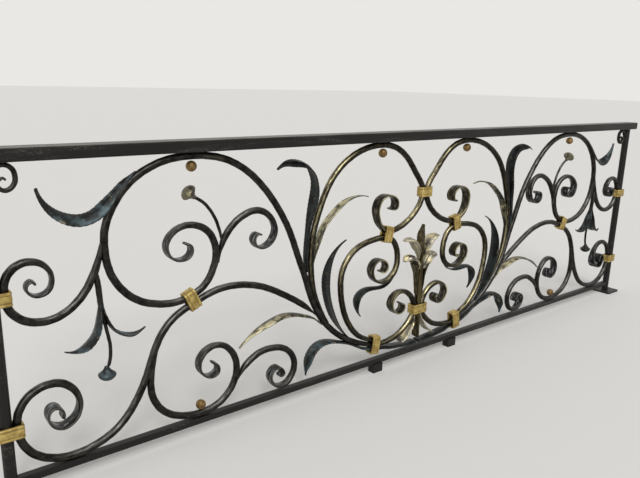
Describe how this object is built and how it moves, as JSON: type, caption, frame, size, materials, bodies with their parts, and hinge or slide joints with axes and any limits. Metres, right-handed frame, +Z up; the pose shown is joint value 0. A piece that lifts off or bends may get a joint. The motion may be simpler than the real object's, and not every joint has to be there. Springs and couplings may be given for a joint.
{
  "type": "ornamental balustrade bay",
  "caption": "One bay of a forged balustrade between two round posts: symmetric C-scrolls, leaves, buds and a middle flower under a flat handrail.",
  "frame": {"origin": "underside of the left post's base flange, on the post's axis", "axes": "+X along the bay towards the right post, +Y from the viewer into the panel, +Z up"},
  "size_m": [3.056, 0.1, 0.893],
  "materials": {
    "forged_iron": "dark brown forged iron, rubbed with gold on the high edges",
    "handrail_paint": "black paint, semi-gloss, worn",
    "gilded_iron": "gold paint brushed over dark iron",
    "rusty_gilding": "rusty gold paint",
    "patinated_iron": "blue-grey patina over dark iron"
  },
  "bodies": {
    "root": {"balls": "rusty_gilding", "base_leaves": "patinated_iron", "base_strands": "forged_iron", "bottom_rail": "forged_iron", "bundle_collars": "gilded_iron", "circle_collars": "gilded_iron", "circle_leaves": "forged_iron", "corner_scrolls": "forged_iron", "dark_leaves": "forged_iron", "feet": "forged_iron", "flower_leaves": "gilded_iron", "flower_petals": "gilded_iron", "gold_leaves": "gilded_iron", "handrail": "handrail_paint", "left_branch_scroll": "forged_iron", "left_centre_scroll": "forged_iron", "left_floor_scroll": "forged_iron", "left_lower_circle": "forged_iron", "left_lower_scroll": "forged_iron", "left_post": "forged_iron", "left_ring": "forged_iron", "left_side_scroll": "forged_iron", "left_small_scroll": "forged_iron", "left_upper_circle": "forged_iron", "middle_lower_collar": "gilded_iron", "middle_stem": "forged_iron", "middle_upper_collar": "gilded_iron", "post_collars": "gilded_iron", "right_branch_scroll": "forged_iron", "right_centre_scroll": "forged_iron", "right_floor_scroll": "forged_iron", "right_lower_circle": "forged_iron", "right_lower_scroll": "forged_iron", "right_post": "forged_iron", "right_ring": "forged_iron", "right_side_scroll": "forged_iron", "right_small_scroll": "forged_iron", "right_upper_circle": "forged_iron", "ring_buds": "patinated_iron", "ring_collars": "gilded_iron", "sprig_buds": "patinated_iron", "sprigs": "patinated_iron", "sweeping_leaves": "gilded_iron", "tail_leaves": "gilded_iron", "tall_leaves": "forged_iron", "upper_leaves": "patinated_iron"}
  },
  "joints": []
}
